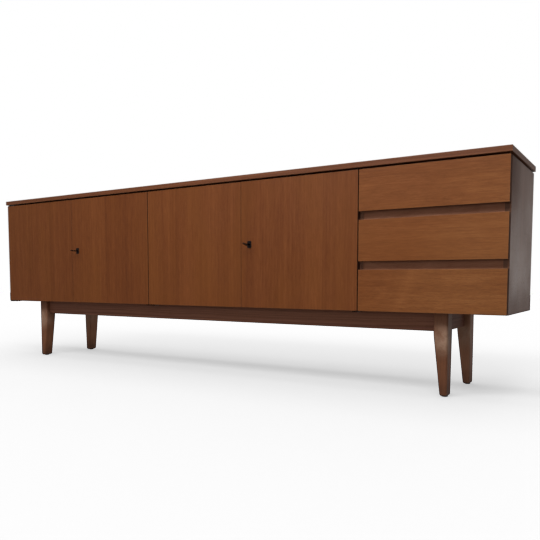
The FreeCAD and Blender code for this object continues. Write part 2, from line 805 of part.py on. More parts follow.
def make_door(number, left, right, pivot):
    name = "door_%d" % number
    body = slab_of(name, "base_height", (left, "face"), (right, "door_back"), "front_height")
    round_edges(body, every_edge, "edge_round")
    centre = [(pivot, "pivot_y")]
    hole = "bush_radius + pivot_clear"
    drill(body, centre, hole, "0", "bush_length", upward=True)
    drill(body, centre, hole, "front_height", "bush_length", upward=False)
    if number in KEY_BOW_ANGLES:
        key_x = left + " + key_inset"
        cut_keyhole(body, key_x, "key_z - base_height", "face", "front_thick")
    node(body, name)

    bushes = []
    for end, floor in (("low", "base_height"), ("high", "front_top - bush_length")):
        at = (pivot, "pivot_y", floor)
        label = "bush_%s_%d" % (end, number)
        outer = rod(label + "_outer", at, "bush_radius", "bush_length")
        inner = rod(label + "_inner", at, "pivot_radius + pivot_clear", "bush_length")
        bushes.append(cut(label, outer, [inner]))
    group(name + "_bushes", bushes)


def make_strike(number, free_edge):
    """The keep on a left-hand door that the next door's bolt enters."""
    name = "strike_%d" % number
    mouth = free_edge + " - lock_edge_inset"
    low = (mouth + " - strike_width", "bolt_height / 2 - strike_height / 2")
    high = (mouth, "bolt_height / 2 + strike_height / 2")
    corners = [low, (high[0], low[1]), high, (low[0], high[1])]
    body = prism(name, "bolt_floor", "XZ_Plane", "-door_back", corners, "strike_depth", backward=True)
    bore = new_sketch(body, "YZ_Plane", mouth)
    low = ("bolt_front - strike_play", "-strike_play")
    add_rectangle(bore, low, ("bolt_front + bolt_thick + strike_play", "bolt_height + strike_play"))
    pocket(body, bore, "strike_pocket")
    node(body, name)


def make_catch(number, middle):
    """The magnet's plate on a left-hand door, and the magnet on the case."""
    left = middle + " - catch_inset - catch_width"
    floor = "inner_roof - catch_height"
    plate_size = ("catch_width", "catch_plate_thick", "catch_height")
    name = "catch_plate_%d" % number
    node(board(name, (left, "door_back", floor), plate_size), name)
    at = (left, "door_back + catch_plate_thick + catch_gap", floor)
    return board("magnet_catch_%d" % number, at, ("catch_width", "catch_length", "catch_height"))


def make_escutcheon(number, key_x):
    name = "escutcheon_%d" % number
    half_width, half_height = "escutcheon_width / 2", "escutcheon_height / 2"
    low, high = ("%s - %s" % (key_x, half_width), "-" + half_height), (key_x + " + " + half_width, half_height)
    corners = [low, (high[0], low[1]), high, (low[0], high[1])]
    body = prism(name, "key_z", "XZ_Plane", "-face", corners, "escutcheon_thick")
    round_edges(body, lambda e: edge_runs_along(e, "y"), "escutcheon_round")
    round_edges(body, on_side(body, "y", -1), "escutcheon_edge")
    cut_keyhole(body, key_x, "0", "face - escutcheon_thick", "escutcheon_thick")
    node(body, name)


def make_lock_case(number, left, key_x):
    """A box lock screwed to the back of the door, open toward the door."""
    name = "lock_case_%d" % number
    low = (left + " + lock_edge_inset", "-lock_below")
    high = (key_x + " + lock_tail", "lock_above")
    corners = [low, (high[0], low[1]), high, (low[0], high[1])]
    body = prism(name, "key_z", "XZ_Plane", "-door_back", corners, "lock_depth", backward=True)
    inside = new_sketch(body, "XZ_Plane", "-door_back")
    add_rectangle(
        inside,
        (low[0] + " + lock_wall", low[1] + " + lock_wall"),
        (high[0] + " - lock_wall", high[1] + " - lock_wall"),
    )
    pocket(body, inside, "lock_depth - lock_wall")
    mouth = new_sketch(body, "YZ_Plane", low[0])
    add_rectangle(
        mouth,
        ("bolt_front - bolt_play", "bolt_rise - bolt_play"),
        ("bolt_front + bolt_thick + bolt_play", "bolt_rise + bolt_height + bolt_play"),
    )
    pocket(body, mouth, "lock_wall", backward=True)
    pivot = new_sketch(body, "XZ_Plane", "-(door_back + lock_depth - lock_wall)")
    add_circle(pivot, (key_x, "0"), "key_tip_radius + pivot_clear")
    pocket(body, pivot, "lock_wall")
    node(body, name)


def make_bolt(number, left, key_x):
    """A flat bolt with a notch over the key, drawn back at rest."""
    notch = key_x + " + bolt_throw / 2"
    start, end = left + " + lock_edge_inset", key_x + " + bolt_tail"
    corners = [
        (start, "0"),
        (notch + " - bolt_notch / 2", "0"),
        (notch + " - bolt_notch / 2", "bolt_notch_height"),
        (notch + " + bolt_notch / 2", "bolt_notch_height"),
        (notch + " + bolt_notch / 2", "0"),
        (end, "0"),
        (end, "bolt_height"),
        (start, "bolt_height"),
    ]
    name = "lock_bolt_%d" % number
    node(prism(name, "bolt_floor", "XZ_Plane", "-bolt_front", corners, "bolt_thick", backward=True), name)


def make_key(number, key_x):
    """A key in its lock: ring bow, collar, shaft, bit and reduced tip."""
    name = "key_%d" % number
    body = new_body(name, (key_x, "face", "key_z"))
    turn = FreeCAD.Rotation(FreeCAD.Vector(0, 1, 0), KEY_BOW_ANGLES[number])
    bow = new_sketch(body, "XY_Plane", "-key_bow_thick / 2", turn)
    add_circle(bow, ("0", "bow_radius - key_reach"), "bow_radius")
    add_circle(bow, ("0", "bow_radius - key_reach"), "bow_radius - key_bow_ring")
    pad(body, bow, "key_bow_thick")

    neck = "key_reach - 2 * bow_radius + key_bow_ring / 2"
    rounds = [
        (neck, "key_radius", "%s + front_thick + lock_depth - lock_wall - bolt_play" % neck),
        ("escutcheon_thick + bolt_play + key_collar_length", "key_collar_radius", "key_collar_length"),
        ("bolt_play + lock_wall - front_thick - lock_depth", "key_tip_radius", "bolt_play + lock_wall"),
    ]
    for start, radius, length in rounds:
        sketch = new_sketch(body, "XZ_Plane", start)
        add_circle(sketch, ("0", "0"), radius)
        pad(body, sketch, length, backward=True)

    # The bit points up and away from the door's free edge, at 45 degrees.
    bit = new_sketch(body, "XZ_Plane", "-(front_thick + bolt_back)")
    reach, half = "cos(45 deg) * key_bit_reach", "cos(45 deg) * key_bit_thick / 2"
    add_outline(bit, [
        (half, "-" + half),
        ("%s + %s" % (reach, half), "%s - %s" % (reach, half)),
        ("%s - %s" % (reach, half), "%s + %s" % (reach, half)),
        ("-" + half, half),
    ])
    pad(body, bit, "bolt_thick", backward=True)
    node(body, name)


def make_doors():
    magnets = []
    for (number, left, right, _), pivot in zip(DOORS, PIVOTS):
        make_door(number, left, right, pivot)
        if number in KEY_BOW_ANGLES:
            key_x = left + " + key_inset"
            make_escutcheon(number, key_x)
            make_lock_case(number, left, key_x)
            make_bolt(number, left, key_x)
            make_key(number, key_x)
        else:
            make_strike(number, right)
            magnets.append(make_catch(number, right))
    group("magnet_catches", magnets)


# Drawers -----------------------------------------------------------------------

def make_drawer(number, front_floor):
    """A drawer: an overlapping front on a grooved, side-hung box."""
    name = "drawer_%d" % number
    profile = [
        ("face", "0"),
        ("door_back - pull_bevel", "0"),
        ("door_back", "pull_bevel"),
        ("door_back", "drawer_front_height - pull_bevel"),
        ("door_back - pull_bevel", "drawer_front_height"),
        ("face", "drawer_front_height"),
    ]
    left = "partition_b + partition_gap / 2"
    width = "drawer_module - partition_gap / 2"
    body = prism(name + "_front", front_floor, "YZ_Plane", left, profile, width)
    round_edges(body, on_side(body, "y", -1), "edge_round")
    node(body, name + "_front")

    side_floor = front_floor + " + drawer_side_drop"
    section = [
        ("0", "0"),
        ("drawer_side_thick", "0"),
        ("drawer_side_thick", "drawer_bottom_rise"),
        ("drawer_side_thick - drawer_bottom_groove", "drawer_bottom_rise"),
        ("drawer_side_thick - drawer_bottom_groove", "drawer_bottom_rise + bottom_groove"),
        ("drawer_side_thick", "drawer_bottom_rise + bottom_groove"),
        ("drawer_side_thick", "drawer_side_height"),
        ("0", "drawer_side_height"),
        ("0", "groove_floor + groove_height"),
        ("groove_depth", "groove_floor + groove_height"),
        ("groove_depth", "groove_floor"),
        ("0", "groove_floor"),
    ]
    sides = []
    for hand, place_x in (("left", "drawer_left + %s"), ("right", "drawer_left + drawer_width - (%s)")):
        corners = [(place_x % x, z) for x, z in section]
        label = "%s_%s_side" % (name, hand)
        start = "-door_back"
        sides.append(prism(label, side_floor, "XZ_Plane", start, corners, "drawer_length", backward=True))
    group(name + "_sides", sides)

    inner_left = "drawer_left + drawer_side_thick"
    inner_width = "drawer_width - 2 * drawer_side_thick"
    back_floor = side_floor + " + drawer_bottom_rise + bottom_groove"
    back_height = "drawer_side_height - drawer_back_drop - drawer_bottom_rise - bottom_groove"
    at = (inner_left, "door_back + drawer_length - drawer_back_thick", back_floor)
    node(board(name + "_back", at, (inner_width, "drawer_back_thick", back_height)), name + "_back")

    tongue = "drawer_bottom_groove - drawer_bottom_play"
    bottom_floor = side_floor + " + drawer_bottom_rise + drawer_bottom_play / 2"
    at = (inner_left + " - (%s)" % tongue, "door_back", bottom_floor)
    size = (inner_width + " + 2 * (%s)" % tongue, "drawer_length", "drawer_bottom_thick")
    node(board(name + "_bottom", at, size), name + "_bottom")


def make_drawers():
    runners = []
    rails = []
    for number in (1, 2, 3):
        front_floor = "base_height + %d * (drawer_front_height + finger_gap)" % (3 - number)
        make_drawer(number, front_floor)
        height = front_floor + " + drawer_side_drop + runner_rise - runner_height / 2"
        start = "case_front + runner_end_gap"
        size = ("runner_width", "back_front - runner_end_gap - (%s)" % start, "runner_height")
        for hand, x in (("left", "bay_left"), ("right", "bay_left + bay_width - runner_width")):
            runners.append(board("runner_%s_%d" % (hand, number), (x, start, height), size))
        if number > 1:
            middle = front_floor + " + drawer_front_height + finger_gap / 2"
            at = ("bay_left", "case_front + rail_setback", middle + " - rail_height / 2")
            rails.append(board("rail_%d" % number, at, ("bay_width", "rail_thick", "rail_height")))
    group("drawer_rails", rails)
    group("drawer_runners", runners)


# Build -------------------------------------------------------------------------

def check_document():
    """Stop if any object failed or any sub-part is empty or broken."""
    for obj in doc.Objects:
        if "Invalid" in obj.State or "Error" in obj.State:
            raise RuntimeError("%s failed: %s" % (obj.Label, obj.State))
    for obj in nodes:
        if obj.Shape.isNull() or not obj.Shape.isValid():
            raise RuntimeError(obj.Label + " has no valid shape")


def export_nodes():
    os.makedirs("parts", exist_ok=True)
    for obj in nodes:
        obj.Shape.exportStep("parts/%s.step" % obj.Label)


make_sides()
make_floor_and_roof()
make_partitions()
make_back()
make_top()
make_shelves()
make_legs()
make_aprons()
make_corner_blocks()
make_glides()
make_wood_screws()
make_hinges()
make_doors()
make_drawers()
doc.recompute()
check_document()
export_nodes()
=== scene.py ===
"""Looks of the sideboard: wood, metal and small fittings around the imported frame,
with the floor, the light and the camera."""

import math

import bmesh
import bpy
from mathutils import Euler, Matrix, Vector


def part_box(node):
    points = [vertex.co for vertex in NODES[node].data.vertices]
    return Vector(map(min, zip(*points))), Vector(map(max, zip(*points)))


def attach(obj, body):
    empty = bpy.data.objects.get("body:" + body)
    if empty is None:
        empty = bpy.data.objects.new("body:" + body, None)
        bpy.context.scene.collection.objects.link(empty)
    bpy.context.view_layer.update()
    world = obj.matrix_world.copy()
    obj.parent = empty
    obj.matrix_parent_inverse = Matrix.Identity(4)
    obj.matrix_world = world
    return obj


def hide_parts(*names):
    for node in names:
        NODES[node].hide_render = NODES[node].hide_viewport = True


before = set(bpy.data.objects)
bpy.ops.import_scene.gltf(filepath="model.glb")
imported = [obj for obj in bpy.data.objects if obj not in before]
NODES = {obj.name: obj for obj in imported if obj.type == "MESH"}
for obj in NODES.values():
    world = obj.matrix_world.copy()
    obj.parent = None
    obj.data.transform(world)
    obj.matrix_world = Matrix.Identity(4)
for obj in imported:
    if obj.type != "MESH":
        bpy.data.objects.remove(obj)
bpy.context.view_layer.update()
MM = 0.001
scene = bpy.context.scene


# Node trees ----------------------------------------------------------------

class Tree:
    """Short forms for adding shader nodes."""

    def __init__(self, tree):
        self.tree = tree

    def add(self, kind, inputs=None, **settings):
        made = self.tree.nodes.new("ShaderNode" + kind)
        for name, value in settings.items():
            setattr(made, name, value)
        for key, value in (inputs or {}).items():
            self.feed(made.inputs[key], value)
        return made

    def feed(self, socket, value):
        if isinstance(value, bpy.types.NodeSocket):
            self.tree.links.new(value, socket)
        elif value is not None:
            socket.default_value = value

    def math(self, operation, a, b=None, c=None, clamp=False):
        made = self.add("Math", {0: a, 1: b, 2: c}, operation=operation, use_clamp=clamp)
        return made.outputs[0]

    def vector(self, operation, a, b=None):
        made = self.add("VectorMath", {0: a, 1: b}, operation=operation)
        return made.outputs["Value" if operation in ("LENGTH", "DISTANCE") else "Vector"]

    def noise(self, place, scale=1.0, detail=2.0, rough=0.5, dimensions="3D"):
        entry = "W" if dimensions == "1D" else "Vector"
        inputs = {entry: place, "Scale": scale, "Detail": detail, "Roughness": rough}
        return self.add("TexNoise", inputs, noise_dimensions=dimensions).outputs["Fac"]

    def span(self, value, low, high, to_low=0.0, to_high=1.0, smooth=False):
        inputs = {"Value": value, "From Min": low, "From Max": high, "To Min": to_low, "To Max": to_high}
        kind = "SMOOTHSTEP" if smooth else "LINEAR"
        return self.add("MapRange", inputs, interpolation_type=kind).outputs["Result"]

    def mix(self, amount, a, b, blend="MIX"):
        made = self.add("Mix", data_type="RGBA", blend_type=blend)
        for index, value in ((0, amount), (6, a), (7, b)):
            self.feed(made.inputs[index], value)
        return made.outputs[2]

    def ramp(self, value, stops):
        made = self.add("ValToRGB", {"Fac": value})
        band = made.color_ramp
        while len(band.elements) < len(stops):
            band.elements.new(0.5)
        for element, (position, colour) in zip(band.elements, stops):
            element.position = position
            element.color = rgb(colour)
        return made.outputs["Color"]


def rgb(colour):
    return (*colour, 1.0)


def new_group(name, inputs, outputs):
    tree = bpy.data.node_groups.new(name, "ShaderNodeTree")
    for direction, sockets in (("INPUT", inputs), ("OUTPUT", outputs)):
        for label, kind in sockets:
            tree.interface.new_socket(label, in_out=direction, socket_type="NodeSocket" + kind)
    return tree, tree.nodes.new("NodeGroupInput").outputs, tree.nodes.new("NodeGroupOutput").inputs


# How finely each pattern of the grain is drawn, per metre: twice across the log, and along it.
STREAKS, BROAD, FIBRE = (95, 95, 1.1), (13, 13, 0.55), (900, 900, 14)
FLECKS, PORES = (210, 210, 17), (1700, 1700, 75)
WANDER_X, WANDER_Y = (1.6, 1.6, 1.3), (2.1, 1.9, 1.7)
RINGS = 150.0
# How far apart two veneer leaves can be cut, across and along the log, in metres.
LEAF_ACROSS, LEAF_ALONG = 0.05, 4.0
# The joint between two leaves: dark within the first distance, and gone at the second.
JOINT_DARK, JOINT_GONE = 0.2 * MM, 0.8 * MM


def make_grain_group():
    """Grain as a solid pattern. Place is in metres: x and y across the log, z along it."""
    tree, given, result = new_group(
        "wood_grain",
        [("Place", "Vector"), ("Heart", "Vector"), ("Wander", "Float"),
         ("Leaf", "Float"), ("Seed", "Float")],
        [("Rings", "Float"), ("Streaks", "Float"), ("Broad", "Float"), ("Fibre", "Float"),
         ("Flecks", "Float"), ("Pores", "Float"), ("Leaf tint", "Float"), ("Joint", "Float")],
    )
    t = Tree(tree)
    parts = t.add("SeparateXYZ", {0: given["Place"]}).outputs
    # Veneer leaves side by side, each cut from another place along the log.
    strip = t.math("ADD", t.math("DIVIDE", parts[0], given["Leaf"]), given["Seed"])
    leaf = t.math("FLOOR", strip)
    key = t.add("CombineXYZ", {0: leaf, 1: given["Seed"], 2: 0.5}).outputs[0]
    draw = t.add("TexWhiteNoise", {"Vector": key}, noise_dimensions="3D").outputs["Color"]
    drawn = t.add("SeparateColor", {0: draw}).outputs
    shift = t.add(
        "CombineXYZ",
        {0: t.math("MULTIPLY", drawn[0], LEAF_ACROSS), 1: given["Seed"],
         2: t.math("MULTIPLY", drawn[1], LEAF_ALONG)},
    ).outputs[0]
    place = t.vector("ADD", given["Place"], shift)
    into = t.math("FRACT", strip)
    edge = t.math("MINIMUM", into, t.math("SUBTRACT", 1.0, into))
    joint = t.span(t.math("MULTIPLY", edge, given["Leaf"]), JOINT_DARK, JOINT_GONE, 1.0, 0.0)

    def pattern(fineness, detail, rough=0.5):
        return t.noise(t.vector("MULTIPLY", place, fineness), detail=detail, rough=rough)

    wander_x = t.math("SUBTRACT", pattern(WANDER_X, 2), 0.5)
    wander_y = t.math("SUBTRACT", pattern(WANDER_Y, 1), 0.5)
    wander = t.add(
        "CombineXYZ",
        {0: t.math("MULTIPLY", wander_x, given["Wander"]),
         1: t.math("MULTIPLY", wander_y, given["Wander"]), 2: 0.0},
    ).outputs[0]
    from_heart = t.vector("ADD", t.vector("SUBTRACT", place, given["Heart"]), wander)
    flat = t.vector("MULTIPLY", from_heart, (1.0, 1.0, 0.0))
    radius = t.vector("LENGTH", flat)
    rings = t.noise(t.math("MULTIPLY", radius, RINGS), detail=4, rough=0.55, dimensions="1D")
    streaks = pattern(STREAKS, 4, 0.62)
    broad = pattern(BROAD, 2)
    fibre = pattern(FIBRE, 3, 0.65)
    flecks = pattern(FLECKS, 3, 0.7)
    fine = pattern(PORES, 1)
    # Pores are open spots, and there are more of them in the dark part of a ring.
    pores = t.math("MULTIPLY", t.span(fine, 0.56, 0.68), t.span(rings, 0.35, 0.6, 1.0, 0.35), clamp=True)
    for label, value in (
        ("Rings", rings), ("Streaks", streaks), ("Broad", broad), ("Fibre", fibre),
        ("Flecks", flecks), ("Pores", pores), ("Leaf tint", drawn[2]), ("Joint", joint),
    ):
        t.feed(result[label], value)
    return tree


def make_edge_group():
    """Distance from a box's nearest edge, for a point on one of its faces."""
    tree, given, result = new_group(
        "edge_distance",
        [("Place", "Vector"), ("Low", "Vector"), ("High", "Vector")],
        [("Distance", "Float")],
    )
    t = Tree(tree)
    near = t.vector("MINIMUM", t.vector("SUBTRACT", given["Place"], given["Low"]),
                    t.vector("SUBTRACT", given["High"], given["Place"]))
    x, y, z = t.add("SeparateXYZ", {0: near}).outputs
    least = t.math("MINIMUM", x, t.math("MINIMUM", y, z))
    most = t.math("MAXIMUM", x, t.math("MAXIMUM", y, z))
    total = t.math("ADD", x, t.math("ADD", y, z))
    middle = t.math("SUBTRACT", total, t.math("ADD", least, most))
    t.feed(result["Distance"], middle)
    return tree


GRAIN = make_grain_group()
EDGE = make_edge_group()

# Grain frames: which of the object's axes lie across, through and along the grain.
ALONG_X, ALONG_X_FLAT, ALONG_Y, ALONG_Z, ALONG_Z_SIDE = "ZYX", "YZX", "XZY", "XYZ", "YXZ"


def grain_place(t, frame_axes):
    coordinates = t.add("TexCoord").outputs["Object"]
    parts = t.add("SeparateXYZ", {0: coordinates}).outputs
    order = ["XYZ".index(letter) for letter in frame_axes]
    made = t.add("CombineXYZ", {i: parts[k] for i, k in enumerate(order)})
    return coordinates, made.outputs[0]


def group_node(t, tree, inputs):
    made = t.add("Group", node_tree=tree)
    for label, value in inputs.items():
        t.feed(made.inputs[label], value)
    return made.outputs


def new_material(name):
    """A material without nodes, and the tree to add them to."""
    made = bpy.data.materials.new(name)
    made.use_nodes = True
    made.node_tree.nodes.clear()
    return made, Tree(made.node_tree)


def add_surface(t, inputs):
    surface = t.add("BsdfPrincipled", inputs)
    t.feed(t.add("OutputMaterial").inputs["Surface"], surface.outputs[0])


class Wood:
    """A timber: its colours from dark to light, the rubbed edge's colour, and its finish.

    Ring, streak, fleck, broad and pore are how strongly each pattern of the grain shows. Sheen is
    the roughness, bump the depth of the relief, wear the strength of the rubbed edges, and wander
    how far the rings stray, in metres. Warm is the colour of warmer patches, and
    edge_tone_and_shade that of a front's four edges: partly their own darker colour, partly
    painted shade of the gaps between fronts.
    """

    def __init__(self, dark, middle, light, worn, sheen=0.42, pore=0.5, ring=0.5, streak=0.9,
                 fleck=0.45, broad=0.5, specular=0.5, bump=0.25, wear=0.5, warm=None, wander=0.05,
                 edge_tone_and_shade=None):
        self.dark, self.middle, self.light, self.worn = dark, middle, light, worn
        self.sheen, self.pore, self.ring, self.streak = sheen, pore, ring, streak
        self.fleck, self.broad, self.specular = fleck, broad, specular
        self.bump, self.wear, self.warm, self.wander = bump, wear, warm, wander
        self.edge_tone_and_shade = edge_tone_and_shade


class Mark:
    """A round patch on a surface, here painted sheen, painted shade, a painted highlight and a darker
    foot. One that multiplies scales the wood's own colour; another covers it in spots.
    """

    def __init__(self, centre, reach, colour, strength, rougher=0.0, multiplies=False):
        self.centre, self.reach, self.colour = centre, reach, colour
        self.strength, self.rougher, self.multiplies = strength, rougher, multiplies


def shade(colour, amount):
    return tuple(channel * amount for channel in colour)


# Where a timber's dark, middle and light colours lie between 0 and 1.
TONES = (0.12, 0.5, 0.88)
# How strongly the finest fibres and the difference between two veneer leaves show.
FIBRE_SHARE, LEAF_SHARE = 0.35, 0.16
RUBBED_EDGE = 2.2 * MM
# The dark lipping on a board's front edge: whole to the first depth, and ended at the second.
LIPPED, LIPPED_END = 0.5 * MM, 0.7 * MM
# How finely the warm patches and the surface's swell are drawn, and how deep each relief is.
DRIFT, SWELL = (7.0, 7.0, 2.3), (9.0, 9.0, 4.0)
GRAIN_DEPTH, SWELL_DEPTH = 0.15 * MM, 1.6 * MM


def wood_tone(t, grain, wood):
    """How light the grain is, from 0 to 1."""
    shares = {"Rings": wood.ring, "Streaks": wood.streak, "Broad": wood.broad,
              "Fibre": FIBRE_SHARE, "Flecks": wood.fleck, "Leaf tint": LEAF_SHARE}
    tone = None
    for label, share in shares.items():
        part = t.math("MULTIPLY", t.math("SUBTRACT", grain[label], 0.5), share)
        tone = part if tone is None else t.math("ADD", tone, part)
    return t.math("ADD", tone, 0.5, clamp=True)


def timber_ramp(t, tone, wood):
    return t.ramp(tone, list(zip(TONES, (wood.dark, wood.middle, wood.light))))


def add_mark(t, mark, coordinates, patchy, colour, rough):
    """Lay a mark over a colour and a roughness."""
    away = t.vector("DISTANCE", coordinates, mark.centre)
    near = t.span(away, 0.0, mark.reach, 1.0, 0.0, smooth=True)
    amount = t.math("MULTIPLY", near, mark.strength)
    if mark.multiplies:
        colour = t.mix(amount, colour, rgb(mark.colour), blend="MULTIPLY")
    else:
        spots = t.math("MULTIPLY", amount, t.span(patchy, 0.2, 0.6))
        colour = t.mix(spots, colour, rgb(mark.colour))
    if mark.rougher:
        rough = t.math("ADD", rough, t.math("MULTIPLY", near, mark.rougher))
    return colour, rough


def wood_relief(t, grain, place, wood):
    """Raised fibres and open pores on a surface that swells a little."""
    height = t.math("SUBTRACT", t.math("MULTIPLY", grain["Fibre"], 0.5), grain["Pores"])
    height = t.math("ADD", height, t.math("MULTIPLY", grain["Streaks"], 0.6))
    fine = t.add("Bump", {"Strength": wood.bump, "Distance": GRAIN_DEPTH, "Height": height}).outputs[0]
    waves = t.noise(t.vector("MULTIPLY", place, SWELL), detail=1)
    inputs = {"Strength": 0.35, "Distance": SWELL_DEPTH, "Height": waves, "Normal": fine}
    return t.add("Bump", inputs).outputs[0]


def wood_material(name, wood, axes, low, high, seed, heart, leaf, band=None, marks=()):
    """A material for one piece whose box runs from low to high.

    Band is the other wood that its front edge is lipped with.
    """
    made, t = new_material(name)
    coordinates, place = grain_place(t, axes)
    grain = group_node(
        t, GRAIN, {"Place": place, "Heart": heart, "Wander": wood.wander, "Leaf": leaf, "Seed": seed})
    tone = wood_tone(t, grain, wood)
    colour = timber_ramp(t, tone, wood)
    if band is not None:
        depth = t.add("SeparateXYZ", {0: coordinates}).outputs[1]
        front = t.span(depth, low[1] + LIPPED, low[1] + LIPPED_END, 1.0, 0.0)
        colour = t.mix(front, colour, timber_ramp(t, tone, band))
    # Warmer patches drift over the surface.
    drift = t.noise(t.vector("MULTIPLY", place, DRIFT), detail=2)
    warm = wood.warm or tuple(c * k for c, k in zip(wood.middle, (1.08, 1.12, 0.95)))
    colour = t.mix(t.span(drift, 0.45, 0.75, 0.0, 0.45), colour, rgb(warm))
    # Pores and the joints between veneer leaves are dark.
    colour = t.mix(t.math("MULTIPLY", grain["Pores"], wood.pore), colour, rgb(shade(wood.dark, 0.45)))
    colour = t.mix(t.math("MULTIPLY", grain["Joint"], 0.45), colour, rgb(shade(wood.dark, 0.6)))
    # Rubbed edges: paler and less glossy where hands and cloths have been.
    distance = group_node(t, EDGE, {"Place": coordinates, "Low": low, "High": high})["Distance"]
    patchy = t.noise(coordinates, scale=38.0, detail=3, rough=0.7)
    near_edge = t.span(distance, 0.0, RUBBED_EDGE, 1.0, 0.0, smooth=True)
    rubbed = t.math("MULTIPLY", near_edge, t.span(patchy, 0.35, 0.7), clamp=True)
    colour = t.mix(t.math("MULTIPLY", rubbed, wood.wear), colour, rgb(wood.worn))
    # The finish is uneven.
    smudge = t.noise(coordinates, scale=5.5, detail=3, rough=0.6)
    rough = t.span(smudge, 0.3, 0.7, wood.sheen - 0.05, wood.sheen + 0.06)
    for mark in marks:
        colour, rough = add_mark(t, mark, coordinates, patchy, colour, rough)
    if wood.edge_tone_and_shade is not None:
        # The four edges of a front, apart from its two broad faces: partly their own darker colour,
        # partly painted shade of the gaps between fronts.
        normal = t.add("TexCoord").outputs["Normal"]
        facing = t.math("ABSOLUTE", t.add("SeparateXYZ", {0: normal}).outputs[1])
        edge_tone_and_shade_mask = t.span(facing, 0.4, 0.8, 1.0, 0.0)
        colour = t.mix(t.math("MULTIPLY", edge_tone_and_shade_mask, 0.9), colour, rgb(wood.edge_tone_and_shade))
        rough = t.math("ADD", rough, t.math("MULTIPLY", edge_tone_and_shade_mask, 0.4))
    rough = t.math("ADD", rough, t.math("MULTIPLY", grain["Pores"], 0.2))
    rough = t.math("ADD", rough, t.math("MULTIPLY", rubbed, 0.12), clamp=True)
    add_surface(t, {
        "Base Color": colour, "Roughness": rough, "Normal": wood_relief(t, grain, place, wood),
        "Specular IOR Level": wood.specular,
    })
    return made


# Timbers ---------------------------------------------------------------------

# A front's four edges: their own darker colour, deepened into painted shade of the gaps between fronts.
EDGE_TONE_AND_SHADE = (0.040, 0.014, 0.008)
TEAK = Wood((0.115, 0.029, 0.0068), (0.176, 0.050, 0.0118), (0.246, 0.078, 0.0205),
            (0.29, 0.115, 0.045),
            sheen=0.42, pore=0.40, ring=0.25, streak=0.60, fleck=0.75, broad=0.35, specular=0.25,
            warm=(0.20, 0.064, 0.011), wander=0.012, edge_tone_and_shade=EDGE_TONE_AND_SHADE)
DRAWER_TEAK = Wood((0.138, 0.038, 0.0088), (0.208, 0.063, 0.0148), (0.290, 0.101, 0.028),
                   (0.32, 0.135, 0.048),
                   sheen=0.42, pore=0.5, ring=0.45, streak=0.40, fleck=0.85, broad=0.30,
                   specular=0.25, warm=(0.245, 0.084, 0.020), wander=0.035, edge_tone_and_shade=EDGE_TONE_AND_SHADE)
SLAB_TEAK = Wood((0.100, 0.028, 0.010), (0.160, 0.050, 0.018), (0.225, 0.080, 0.034), (0.30, 0.14, 0.07),
                 sheen=0.38, pore=0.5, ring=0.5, streak=0.7, broad=0.4, specular=0.35, wander=0.03)
SIDE_TEAK = Wood((0.105, 0.037, 0.017), (0.160, 0.062, 0.031), (0.225, 0.096, 0.052),
                 (0.27, 0.13, 0.070),
                 sheen=0.34, pore=0.5, ring=0.4, streak=0.8, broad=0.45, specular=0.45, wander=0.02)
DARK = Wood((0.130, 0.050, 0.029), (0.215, 0.088, 0.054), (0.300, 0.135, 0.085), (0.32, 0.15, 0.095),
            sheen=0.50, pore=0.5, ring=0.9, streak=0.6, broad=0.6, specular=0.15, wear=0.35)
LEG = Wood((0.120, 0.044, 0.021), (0.215, 0.084, 0.041), (0.32, 0.138, 0.072), (0.40, 0.21, 0.125),
           sheen=0.38, pore=0.5, ring=0.8, streak=0.6, broad=0.6, specular=0.25, wear=0.6)
# Painted light: a paler copy of the legs' wood for the rear legs, for the shade they stand in.
REAR_LEG_PAINTED_LIGHTER = Wood((0.170, 0.070, 0.036), (0.290, 0.126, 0.068), (0.40, 0.19, 0.11), (0.44, 0.24, 0.15),
                sheen=0.42, pore=0.5, ring=0.8, streak=0.6, broad=0.6, specular=0.25, wear=0.5)
# Painted light: a paler copy of the aprons' dark wood, for the rails in the shaded recesses behind the
# drawer gaps.
RAIL_PAINTED_LIGHTER = Wood((0.220, 0.086, 0.046), (0.350, 0.145, 0.080), (0.46, 0.21, 0.125), (0.50, 0.26, 0.17),
            sheen=0.50, pore=0.5, ring=0.8, streak=0.6, broad=0.5, specular=0.2, wear=0.35)
INNER = Wood((0.20, 0.105, 0.048), (0.30, 0.17, 0.082), (0.40, 0.245, 0.13), (0.42, 0.29, 0.17),
             sheen=0.5, pore=0.25, ring=0.6, streak=0.7, broad=0.5, specular=0.35, wear=0.3)
PLY = Wood((0.21, 0.125, 0.06), (0.30, 0.19, 0.10), (0.38, 0.26, 0.15), (0.38, 0.28, 0.18),
           sheen=0.68, pore=0.35, ring=0.8, streak=0.5, fleck=0.6, broad=0.45, specular=0.25, wear=0.2,
           bump=0.4, wander=0.03)
BEECH = Wood((0.34, 0.21, 0.115), (0.46, 0.30, 0.17), (0.56, 0.39, 0.245), (0.52, 0.38, 0.25),
             sheen=0.55, pore=0.3, ring=0.8, streak=0.5, broad=0.4, specular=0.3, wear=0.25)


# Metal and plastic -----------------------------------------------------------

# Each fitting's colour, its rubbed edges' colour, roughness, how metallic it is, and its gloss.
METALS = {
    "black_metal": ((0.0065, 0.0045, 0.0045), (0.030, 0.024, 0.022), 0.34, 0.0, 0.22),
    "bronzed_steel": ((0.016, 0.010, 0.008), (0.13, 0.10, 0.085), 0.26, 1.0, 0.5),
    "steel": ((0.46, 0.455, 0.44), (0.62, 0.61, 0.60), 0.36, 1.0, 0.5),
    "brass": ((0.50, 0.34, 0.13), (0.72, 0.53, 0.25), 0.33, 1.0, 0.5),
    "plastic": ((0.045, 0.040, 0.036), (0.085, 0.078, 0.07), 0.48, 0.0, 0.5),
}


# How finely its patches, scratches and pits are drawn, per metre.
METAL_PATCHES, SCRATCHES, PITS = 160.0, (2600.0, 700.0, 260.0), 1500.0
BRIGHT_EDGE = 1.1 * MM


